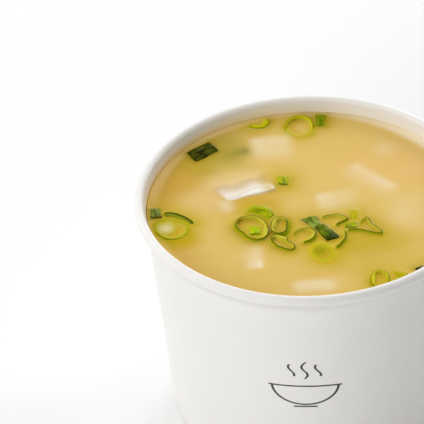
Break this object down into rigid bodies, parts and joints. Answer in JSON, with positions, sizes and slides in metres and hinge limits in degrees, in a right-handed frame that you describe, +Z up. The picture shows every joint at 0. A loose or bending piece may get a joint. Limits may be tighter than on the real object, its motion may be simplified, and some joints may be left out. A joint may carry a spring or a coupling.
{
  "type": "miso soup",
  "caption": "Miso soup filled to just under the rolled rim of a plain white paper cup, with tofu and floating slices of spring onion.",
  "frame": {"origin": "centre of the cup's base, on the surface it stands on", "axes": "+Z up along the cup's axis, -Y towards the side it is seen from"},
  "size_m": [0.09, 0.09, 0.065],
  "materials": {
    "cup_paper": "white paper board with a thin smooth coating",
    "broth": "cloudy golden broth with a wet gloss",
    "tofu": "wet soft tofu, cream white",
    "onion_leaf": "wet dark green leaf",
    "onion_green": "wet bright green slice with a dark skin",
    "onion_yellow": "wet yellow green slice lying in the broth",
    "onion_white": "wet pale slice of the white stem"
  },
  "bodies": {
    "root": {"cup_wall": "cup_paper", "cup_floor": "cup_paper", "broth": "broth", "tofu_cube": "tofu", "onion_leaf_roll_far": "onion_leaf", "onion_leaf_square_far": "onion_leaf", "onion_chip_at_wall": "onion_leaf", "onion_chip_front_edge": "onion_leaf", "onion_leaf_creased": "onion_leaf", "onion_ring_large": "onion_green", "onion_ring_round": "onion_green", "onion_ring_boat": "onion_green", "onion_ring_open": "onion_green", "onion_loop_long": "onion_green", "onion_loop_three_sided": "onion_green", "onion_arc_right": "onion_green", "onion_strip_left": "onion_green", "onion_chip_middle": "onion_green", "onion_chip_bright": "onion_green", "onion_leaf_curl": "onion_green", "onion_chip_right": "onion_green", "onion_ring_far": "onion_yellow", "onion_ring_front": "onion_yellow", "onion_ring_sunken": "onion_yellow", "onion_crescent_far": "onion_yellow", "onion_chip_yellow": "onion_yellow", "onion_chip_front": "onion_yellow", "onion_slice_pale": "onion_white"}
  },
  "joints": []
}
